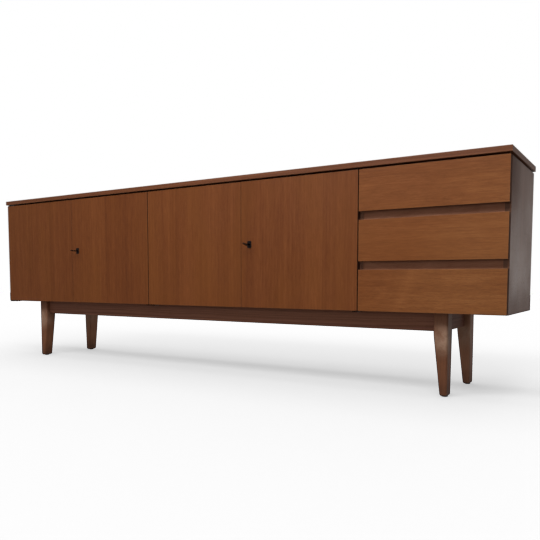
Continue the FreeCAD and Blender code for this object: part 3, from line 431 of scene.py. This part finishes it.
def metal_material(name, look, low=None, high=None):
    """Worked metal or plastic: fine scratches, patches of wear, and rubbed edges if it has a box."""
    colour, edge_colour, rough, metallic, specular = METALS[look]
    made, t = new_material(name)
    coordinates = t.add("TexCoord").outputs["Object"]
    patches = t.noise(coordinates, scale=METAL_PATCHES, detail=3, rough=0.6)
    scratches = t.noise(t.vector("MULTIPLY", coordinates, SCRATCHES), detail=2, rough=0.6)
    pits = t.noise(coordinates, scale=PITS, detail=2)
    worn = t.span(patches, 0.52, 0.66, 0.0, 0.55)
    if low is not None:
        distance = group_node(t, EDGE, {"Place": coordinates, "Low": low, "High": high})["Distance"]
        worn = t.math("ADD", worn, t.span(distance, 0.0, BRIGHT_EDGE, 0.6, 0.0), clamp=True)
    worn = t.math("MULTIPLY", worn, t.span(scratches, 0.3, 0.7, 0.4, 1.0), clamp=True)
    shown = t.mix(worn, rgb(colour), rgb(edge_colour))
    shown = t.mix(t.span(pits, 0.58, 0.75, 0.0, 0.6), shown, rgb(shade(colour, 0.5)))
    roughness = t.span(patches, 0.3, 0.7, rough - 0.06, rough + 0.1)
    roughness = t.math("ADD", roughness, t.span(scratches, 0.5, 0.8, 0.0, 0.08), clamp=True)
    relief = t.math("ADD", t.math("MULTIPLY", scratches, 0.6), t.math("MULTIPLY", pits, 0.4))
    normal = t.add("Bump", {"Strength": 0.18, "Distance": 0.05 * MM, "Height": relief}).outputs[0]
    add_surface(t, {
        "Base Color": shown, "Roughness": roughness, "Normal": normal,
        "Metallic": metallic, "Specular IOR Level": specular,
    })
    return made


# Dressing the CAD nodes -------------------------------------------------------

def wear_box(node):
    return [tuple(corner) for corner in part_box(node)]


# A leaf wider than any piece: solid wood, with no veneer joints.
SOLID = 10.0
# Each wooden node's timber, the way its grain runs, where the log's heart lies in that frame, and
# how wide its veneer leaves are, in metres.
WOODS = {
    "top_slab": (SLAB_TEAK, ALONG_X_FLAT, (0.3, 0.6, 0.0), 0.28),
    "side_left": (SIDE_TEAK, ALONG_Z_SIDE, (0.5, 0.3, 0.0), 0.19),
    "side_right": (SIDE_TEAK, ALONG_Z_SIDE, (0.5, 0.3, 0.0), 0.19),
    "case_top": (INNER, ALONG_X_FLAT, (0.5, 0.4, 0.0), 0.3),
    "case_bottom": (INNER, ALONG_X_FLAT, (0.5, 0.4, 0.0), 0.3),
    "partition_left": (INNER, ALONG_Z_SIDE, (0.5, 0.3, 0.0), 0.24),
    "partition_right": (INNER, ALONG_Z_SIDE, (0.5, 0.3, 0.0), 0.24),
    "back_panels": (PLY, ALONG_Z, (0.1, 0.32, 0.0), SOLID),
    "shelf_left": (INNER, ALONG_X_FLAT, (0.5, 0.4, 0.0), 0.22),
    "shelf_middle": (INNER, ALONG_X_FLAT, (0.5, 0.4, 0.0), 0.22),
    "drawer_rails": (RAIL_PAINTED_LIGHTER, ALONG_X, (0.06, 0.10, 0.0), SOLID),
    "drawer_runners": (BEECH, ALONG_Y, (0.1, 0.05, 0.0), SOLID),
    "top_battens": (BEECH, ALONG_X, (0.1, 0.05, 0.0), SOLID),
    "corner_blocks": (BEECH, ALONG_X, (0.1, 0.05, 0.0), SOLID),
    "apron_front": (DARK, ALONG_X, (0.05, 0.12, 0.0), SOLID),
    "apron_rear": (DARK, ALONG_X, (0.05, 0.12, 0.0), SOLID),
    "apron_left": (DARK, ALONG_Y, (0.12, 0.05, 0.0), SOLID),
    "apron_right": (DARK, ALONG_Y, (0.12, 0.05, 0.0), SOLID),
}
for number in (1, 2, 3, 4):
    WOODS["door_%d" % number] = (TEAK, ALONG_Z, (1.9, 0.45, 0.0), 0.16)
for number in (1, 2, 3):
    drawer = "drawer_%d" % number
    WOODS[drawer + "_front"] = (DRAWER_TEAK, ALONG_X, (0.12 * number, 0.30, 0.0), 0.5)
    WOODS[drawer + "_sides"] = (BEECH, ALONG_Y, (0.1, 0.05, 0.0), SOLID)
    WOODS[drawer + "_back"] = (BEECH, ALONG_X, (0.1, 0.05, 0.0), SOLID)
    WOODS[drawer + "_bottom"] = (PLY, ALONG_X_FLAT, (0.1, 0.3, 0.0), SOLID)
for corner in ("front_left", "front_right", "rear_left", "rear_right"):
    # The rear legs take the paler copy, painted light.
    leg_wood = LEG if "front" in corner else REAR_LEG_PAINTED_LIGHTER
    WOODS["leg_" + corner] = (leg_wood, ALONG_Z, (0.05, 0.13, 0.0), SOLID)

# Boards whose front edge is lipped with dark wood.
BANDED = ("case_top", "case_bottom", "partition_left", "partition_right",
          "shelf_left", "shelf_middle")
# Every node has a seed of its own for its veneer leaves.
FIRST_SEED, SEED_STEP = 0.37, 1.31


def put_on(piece, material):
    piece.data.materials.clear()
    piece.data.materials.append(material)


def dress(piece, name, number, marks=()):
    """Give a piece the finish of the node it is or stands for."""
    low, high = wear_box(name)
    if name in WOODS:
        wood, axes, heart, leaf = WOODS[name]
        band = DARK if name in BANDED else None
        seed = FIRST_SEED + SEED_STEP * number
        material = wood_material(
            "wood_" + name, wood, axes, low, high, seed, heart, leaf, band=band, marks=marks)
    else:
        slot = look = SLOTS[name]
        if name.startswith("key_"):
            # A key is dark with age, and too slender for rubbed edges: it shines only in patches.
            look, low, high = "bronzed_steel", None, None
        material = metal_material(slot + "_" + name, look, low, high)
    put_on(piece, material)


SLOTS = {name: piece.data.materials[0].name.split(".")[0] for name, piece in NODES.items()}
ORDER = {name: number for number, name in enumerate(sorted(NODES))}
LEGS = [name for name in ORDER if name.startswith("leg_")]
# Painted sheen on the drawers: their wood lighter and greyer towards the right end, most on the lowest
# drawer. Painted shade at the top front corner of each side, which is rougher there too.
PAINTED_SHEEN, PAINTED_SHADE = (1.30, 1.55, 1.90), (0.040, 0.017, 0.010)
END_X, FRONT_Y, CORNER_Y, CORNER_Z = 1.20, -0.181, -0.170, 0.72
PAINTED_PATCHES = {
    # Painted sheen: each drawer front's colour multiplied lighter and greyer near the right end.
    "drawer_1_front": [Mark((END_X, FRONT_Y, 0.62), 0.26, PAINTED_SHEEN, 0.5, multiplies=True)],
    "drawer_2_front": [Mark((END_X, FRONT_Y, 0.48), 0.34, PAINTED_SHEEN, 0.8, multiplies=True)],
    "drawer_3_front": [Mark((END_X - 0.10, FRONT_Y, 0.32), 0.40, PAINTED_SHEEN, 1.0, multiplies=True)],
    # Painted shade: each side darker at its top front corner.
    "side_right": [Mark((END_X, CORNER_Y, CORNER_Z), 0.20, PAINTED_SHADE, 0.7, rougher=0.3)],
    "side_left": [Mark((-END_X, CORNER_Y, CORNER_Z), 0.20, PAINTED_SHADE, 0.7, rougher=0.3)],
}
for name in ORDER:
    if name not in LEGS:
        dress(NODES[name], name, ORDER[name], PAINTED_PATCHES.get(name, ()))


# Softened edges -------------------------------------------------------------------

def soften(name, width, segments=2):
    """Break a node's sharp edges a little."""
    weld = NODES[name].modifiers.new("weld", "WELD")
    weld.merge_threshold = 0.005 * MM
    bevel = NODES[name].modifiers.new("eased_edges", "BEVEL")
    bevel.width, bevel.segments = width, segments
    bevel.limit_method, bevel.angle_limit = "ANGLE", math.radians(50)
    bevel.harden_normals = True


BOARD_EASE, KEY_EASE = 0.8 * MM, 0.5 * MM
EASED = ["apron_front", "apron_rear", "apron_left", "apron_right", "shelf_left", "shelf_middle",
         "drawer_rails"]
EASED += ["drawer_%d_%s" % (number, part)
          for number in (1, 2, 3) for part in ("back", "bottom", "sides")]
for name in EASED:
    soften(name, BOARD_EASE)
for name in ("key_2", "key_4"):
    soften(name, KEY_EASE)


# New pieces ---------------------------------------------------------------------------

def new_piece(name, mesh, body, smooth_angle=40):
    """Turn a bmesh into an object that rides on a body."""
    bmesh.ops.recalc_face_normals(mesh, faces=mesh.faces)
    data = bpy.data.meshes.new(name)
    mesh.to_mesh(data)
    mesh.free()
    data.shade_smooth()
    data.set_sharp_from_angle(angle=math.radians(smooth_angle))
    piece = bpy.data.objects.new(name, data)
    scene.collection.objects.link(piece)
    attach(piece, body)
    return piece


# Legs: two faces straight, the other two tapered below a soft bend, with every arris rounded.
LEG_ROUND, FOOT_ROUND = 7 * MM, 5 * MM
FOOT_ACROSS, FOOT_THROUGH = 23 * MM, 46 * MM
LEG_STRAIGHT = 66 * MM
LEG_BEND = 11 * MM
CORNER_STEPS = 6
# Where sections lie: round the foot's edge in degrees, and about the bend in lengths of LEG_BEND.
FOOT_TURNS = (0, 22.5, 45, 67.5, 90)
BEND_STEPS = (-9, -4, -2.5, -1.5, -0.8, 0, 0.8, 1.5, 2.5)
# A painted highlight lies by the outer front arris just below the bend, and the wood darkens towards the
# foot.
LEG_PAINTED_HIGHLIGHT = (0.46, 0.30, 0.21)
HIGHLIGHT_IN, HIGHLIGHT_DOWN, HIGHLIGHT_REACH, FOOT_DARK_REACH = 8 * MM, 18 * MM, 75 * MM, 80 * MM


def add_ring(mesh, low, high, radius, height):
    """A level ring round a rectangle with rounded corners."""
    ring = []
    corners = ((high[0], high[1]), (low[0], high[1]), (low[0], low[1]), (high[0], low[1]))
    for quarter, (x, y) in enumerate(corners):
        middle_x = x - math.copysign(radius, x - (low[0] + high[0]) / 2)
        middle_y = y - math.copysign(radius, y - (low[1] + high[1]) / 2)
        for step in range(CORNER_STEPS + 1):
            angle = math.pi / 2 * (quarter + step / CORNER_STEPS)
            at = (middle_x + radius * math.cos(angle), middle_y + radius * math.sin(angle), height)
            ring.append(mesh.verts.new(at))
    return ring


def leg_sections(low, high, inner_x, inner_y):
    """Each section's rectangle and height, from the foot up."""
    bend = high[2] - LEG_STRAIGHT
    drop = bend - low[2]
    heights = [(low[2] + FOOT_ROUND * (1 - math.cos(math.radians(turn))),
                FOOT_ROUND * (1 - math.sin(math.radians(turn)))) for turn in FOOT_TURNS]
    heights += [(bend + LEG_BEND * offset, 0.0) for offset in BEND_STEPS]
    heights.append((high[2], 0.0))
    for height, inset in heights:
        below = bend - height
        lean = (below + math.hypot(below, LEG_BEND)) / 2 / drop
        across = lean * (high[0] - low[0] - FOOT_ACROSS)
        through = lean * (high[1] - low[1] - FOOT_THROUGH)
        section_low = [low[0] + inset, low[1] + inset]
        section_high = [high[0] - inset, high[1] - inset]
        if inner_x < 0:
            section_low[0] += across
        else:
            section_high[0] -= across
        if inner_y < 0:
            section_low[1] += through
        else:
            section_high[1] -= through
        yield section_low, section_high, height


def make_leg(name):
    """Loft a leg in place of its node. Its two inner sides, towards the middle, are the tapered ones."""
    low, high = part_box(name)
    inner_x = -1 if low[0] > 0 else 1
    inner_y = -1 if low[1] > 0 else 1
    mesh = bmesh.new()
    rings = [add_ring(mesh, *section[:2], LEG_ROUND, section[2])
             for section in leg_sections(low, high, inner_x, inner_y)]
    for lower, upper in zip(rings, rings[1:]):
        for i in range(len(lower)):
            k = (i + 1) % len(lower)
            mesh.faces.new((lower[i], lower[k], upper[k], upper[i]))
    mesh.faces.new(rings[0])
    mesh.faces.new(rings[-1])
    piece = new_piece("tapered_" + name, mesh, "case", smooth_angle=60)
    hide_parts(name)
    piece.modifiers.new("even_shading", "WEIGHTED_NORMAL").keep_sharp = True
    bend = high[2] - LEG_STRAIGHT
    highlight_at = (high[0] - HIGHLIGHT_IN if inner_x < 0 else low[0] + HIGHLIGHT_IN, low[1], bend - HIGHLIGHT_DOWN)
    foot = ((low[0] + high[0]) / 2, (low[1] + high[1]) / 2, low[2])
    # A painted highlight below the bend, and darker wood round the foot.
    marks = [Mark(highlight_at, HIGHLIGHT_REACH, LEG_PAINTED_HIGHLIGHT, 0.75),
             Mark(foot, FOOT_DARK_REACH, shade(LEG.dark, 0.5), 0.8)]
    dress(piece, name, ORDER[name], marks)


for name in LEGS:
    make_leg(name)


# Screws, nails and pins: domed heads, slotted where a screwdriver turns them.
HEAD_LINES = (-1.0, -0.75, -0.45, -0.15, 0.15, 0.45, 0.75, 1.0)
SLOT_LINES = (-1.0, -0.75, -0.45, -0.19, -0.14, 0.14, 0.19, 0.45, 0.75, 1.0)
SLOT_HALF, SLOT_SINK, DOME_FALL = 0.15, 0.35, 0.6
# No two heads in a row are turned alike: the first one's turn and the step to the next, in radians.
FIRST_TURN, TURN_STEP = 0.4, 0.9
# The radius and the rise of each kind of head.
LOCK_SCREW, STRIKE_SCREW = (2.6 * MM, 1.1 * MM), (1.9 * MM, 0.8 * MM)
CATCH_SCREW, ESCUTCHEON_PIN = (2.2 * MM, 0.35 * MM), (1.1 * MM, 0.7 * MM)
BACK_NAIL = (2.6 * MM, 0.4 * MM)
# How far heads sit from their fitting's edges, and nails from the back's edges and apart.
LOCK_INSET_X, LOCK_INSET_Z = 5 * MM, 4.5 * MM
PIN_ABOVE, PIN_BELOW = 2.3 * MM, 3.0 * MM
STRIKE_INSET, CATCH_INSET = 2.8 * MM, 5 * MM
NAIL_INSET, NAIL_PITCH = 6 * MM, 150 * MM
BACKWARD, FORWARD = 1, -1


def add_head(mesh, at, radius, rise, out, turn, slotted):
    """A head on a face that looks backward or forward, as out says."""
    rows = []
    for v in SLOT_LINES if slotted else HEAD_LINES:
        row = []
        for u in HEAD_LINES:
            x, z = u * math.sqrt(1 - v * v / 2), v * math.sqrt(1 - u * u / 2)
            height = rise * (1 - DOME_FALL * (x * x + z * z))
            if slotted and abs(v) < SLOT_HALF:
                height -= rise * SLOT_SINK
            turned_x = x * math.cos(turn) - z * math.sin(turn)
            turned_z = x * math.sin(turn) + z * math.cos(turn)
            corner = (at[0] + radius * turned_x, at[1] + out * height, at[2] + radius * turned_z)
            row.append(mesh.verts.new(corner))
        rows.append(row)
    faces = [mesh.faces.new((a, b, c, d))
             for lower, upper in zip(rows, rows[1:])
             for a, b, c, d in zip(lower, lower[1:], upper[1:], upper)]
    edges = dict.fromkeys(edge for face in faces for edge in face.edges)
    rim = [edge for edge in edges if edge.is_boundary]
    skirt = bmesh.ops.extrude_edge_only(mesh, edges=rim)["geom"]
    for part in skirt:
        if isinstance(part, bmesh.types.BMVert):
            part.co.y = at[1]
    bmesh.ops.holes_fill(mesh, edges=[part for part in skirt if isinstance(part, bmesh.types.BMEdge)])


def make_heads(name, body, slot, places, size, out, slotted=True):
    """One piece with a head at each place. Size is the radius and the rise."""
    radius, rise = size
    mesh = bmesh.new()
    for number, at in enumerate(places):
        add_head(mesh, at, radius, rise, out, FIRST_TURN + TURN_STEP * number, slotted)
    piece = new_piece(name, mesh, body)
    put_on(piece, metal_material(slot + "_" + name, slot))


def corners_of(node, inset_x, inset_z):
    """The four places near the corners of a node's rear face."""
    low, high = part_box(node)
    return [(x, high[1], z) for x in (low[0] + inset_x, high[0] - inset_x)
            for z in (low[2] + inset_z, high[2] - inset_z)]


for door in (2, 4):
    make_heads("lock_screws_%d" % door, "door_%d" % door, "steel",
               corners_of("lock_case_%d" % door, LOCK_INSET_X, LOCK_INSET_Z), LOCK_SCREW, BACKWARD)
    low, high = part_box("escutcheon_%d" % door)
    pins = [((low[0] + high[0]) / 2, low[1], z) for z in (low[2] + PIN_ABOVE, high[2] - PIN_BELOW)]
    make_heads("escutcheon_pins_%d" % door, "door_%d" % door, "black_metal", pins, ESCUTCHEON_PIN,
               FORWARD, slotted=False)
for door in (1, 3):
    low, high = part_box("strike_%d" % door)
    places = [((low[0] + high[0]) / 2, high[1], z)
              for z in (low[2] + STRIKE_INSET, high[2] - STRIKE_INSET)]
    make_heads("strike_screws_%d" % door, "door_%d" % door, "steel", places, STRIKE_SCREW, BACKWARD)
    low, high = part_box("catch_plate_%d" % door)
    places = [(x, high[1], (low[2] + high[2]) / 2)
              for x in (low[0] + CATCH_INSET, high[0] - CATCH_INSET)]
    make_heads("catch_screws_%d" % door, "door_%d" % door, "steel", places, CATCH_SCREW, BACKWARD)


def spread(start, end, pitch):
    """Even places from start to end, about a pitch apart."""
    count = max(1, round((end - start) / pitch))
    return [start + (end - start) * i / count for i in range(count + 1)]


def make_back_nails():
    """Nails round the back's edges and beside each partition."""
    inset, pitch = NAIL_INSET, NAIL_PITCH
    low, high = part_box("back_panels")
    joints = [sum(corner[0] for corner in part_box(name)) / 2
              for name in ("partition_left", "partition_right")]
    ends = [low[0], joints[0], joints[1], high[0]]
    places = []
    for start, end in zip(ends, ends[1:]):
        for x in spread(start + inset, end - inset, pitch):
            places += [(x, high[1], low[2] + inset), (x, high[1], high[2] - inset)]
        for z in spread(low[2] + inset, high[2] - inset, pitch)[1:-1]:
            places += [(start + inset, high[1], z), (end - inset, high[1], z)]
    make_heads("back_nails", "case", "steel", places, BACK_NAIL, BACKWARD, slotted=False)


make_back_nails()


# Floor -------------------------------------------------------------------------

FLOOR_REACH = 14.0
FLOOR_GREYS = ((0.115, 0.115, 0.115), (0.130, 0.130, 0.130))


def make_floor():
    """A faintly clouded floor that only catches shadows."""
    reach = FLOOR_REACH
    mesh = bpy.data.meshes.new("floor")
    corners = [(-reach, -reach, 0), (reach, -reach, 0), (reach, reach, 0), (-reach, reach, 0)]
    mesh.from_pydata(corners, [], [(0, 1, 2, 3)])
    floor = bpy.data.objects.new("floor", mesh)
    scene.collection.objects.link(floor)
    made = bpy.data.materials.new("pale_floor")
    made.use_nodes = True
    t = Tree(made.node_tree)
    surface = made.node_tree.nodes["Principled BSDF"]
    cloud = t.noise(t.add("TexCoord").outputs["Object"], scale=1.2, detail=2)
    t.feed(surface.inputs["Base Color"], t.mix(cloud, *map(rgb, FLOOR_GREYS)))
    surface.inputs["Roughness"].default_value = 0.9
    put_on(floor, made)
    floor.is_shadow_catcher = True
    return floor


floor = make_floor()


# Light --------------------------------------------------------------------------

# The room's colours from straight down (0) to straight up (1); the horizon is at 0.5.
ROOM_GLOW = [
    (0.0, (0.085, 0.080, 0.077)), (0.48, (0.170, 0.160, 0.154)), (0.56, (0.275, 0.260, 0.250)),
    (0.75, (0.415, 0.400, 0.395)), (1.0, (0.61, 0.60, 0.60)),
]
ROOM_STRENGTH, WALL_STRENGTH = 0.8, 3.0


def make_world():
    """A pale room: white where the camera looks, and dimmer towards the floor for its light."""
    world = bpy.data.worlds.new("room")
    world.use_nodes = True
    world.node_tree.nodes.clear()
    t = Tree(world.node_tree)
    direction = t.add("TexCoord").outputs["Generated"]
    height = t.add("SeparateXYZ", {0: direction}).outputs[2]
    glow = t.ramp(t.span(height, -1.0, 1.0), ROOM_GLOW)
    # Low down, the wall behind the sideboard is paler than the room in front of it.
    behind = t.add("SeparateXYZ", {0: direction}).outputs[1]
    wall = t.math("MULTIPLY", t.span(behind, 0.3, 0.9, 0.0, WALL_STRENGTH),
                  t.span(height, 0.0, 0.17, 1.0, 0.0))
    strength = t.math("ADD", wall, ROOM_STRENGTH)
    room = t.add("Background", {"Color": glow, "Strength": strength}).outputs[0]
    seen = t.add("Background", {"Color": rgb((1.0, 1.0, 1.0)), "Strength": 1.0}).outputs[0]
    choose = t.add("MixShader", {0: t.add("LightPath").outputs["Is Camera Ray"]})
    t.feed(choose.inputs[1], room)
    t.feed(choose.inputs[2], seen)
    t.feed(t.add("OutputWorld").inputs["Surface"], choose.outputs[0])
    scene.world = world


def make_softbox(name, at, toward, width, height, power, mirrored=True):
    """A broad soft lamp. One that isn't mirrored leaves no highlight on the wood."""
    lamp = bpy.data.lights.new(name, "AREA")
    lamp.shape, lamp.size, lamp.size_y, lamp.energy = "RECTANGLE", width, height, power
    holder = bpy.data.objects.new(name, lamp)
    scene.collection.objects.link(holder)
    holder.location = at
    holder.rotation_euler = (Vector(toward) - Vector(at)).to_track_quat("-Z", "Y").to_euler()
    holder.visible_camera = False
    holder.visible_glossy = mirrored


make_world()
make_softbox("key_light", (0.45, -1.75, 2.2), (0.2, -0.18, 0.5), 3.2, 0.8, 45)
make_softbox("top_light", (0.0, 0.2, 3.2), (0.0, 0.0, 0.4), 3.2, 1.6, 25)
make_softbox("front_light", (-0.2, -3.2, 0.9), (0.0, -0.15, 0.3), 3.0, 1.0, 13, mirrored=False)
make_softbox("back_light", (0.0, 3.0, 1.3), (0.0, 0.2, 0.4), 3.2, 1.0, 14, mirrored=False)


FLOOR_SUN = 2.2


def make_floor_light():
    """An even light on the floor alone, so that the shadows on it stay pale."""
    lamp = bpy.data.lights.new("floor_light", "SUN")
    lamp.energy = FLOOR_SUN
    holder = bpy.data.objects.new("floor_light", lamp)
    scene.collection.objects.link(holder)
    floor_only = bpy.data.collections.new("floor_only")
    floor_only.objects.link(floor)
    holder.light_linking.receiver_collection = floor_only
    holder.light_linking.blocker_collection = floor_only


make_floor_light()


# Camera -----------------------------------------------------------------------------

# The photograph's viewpoint: place in metres, angles in radians, focal length in millimetres.
VIEWPOINT = (1.5597, -2.0484, 0.3774)
YAW, PITCH, ROLL = 0.5670, -0.0709, 0.0007
SENSOR, FOCAL_LENGTH, LENS_SHIFT = 36.0, 39.925, 0.0966


def make_camera():
    lens = bpy.data.cameras.new("camera")
    lens.sensor_width, lens.lens, lens.shift_y = SENSOR, FOCAL_LENGTH, LENS_SHIFT
    lens.clip_start, lens.clip_end = 0.05, 60.0
    camera = bpy.data.objects.new("camera", lens)
    scene.collection.objects.link(camera)
    camera.location = VIEWPOINT
    level = Euler((math.pi / 2 + PITCH, 0.0, YAW), "XYZ").to_matrix()
    camera.rotation_euler = (level @ Matrix.Rotation(ROLL, 3, "Z")).to_euler()
    scene.camera = camera


make_camera()
scene.view_settings.view_transform = "Standard"
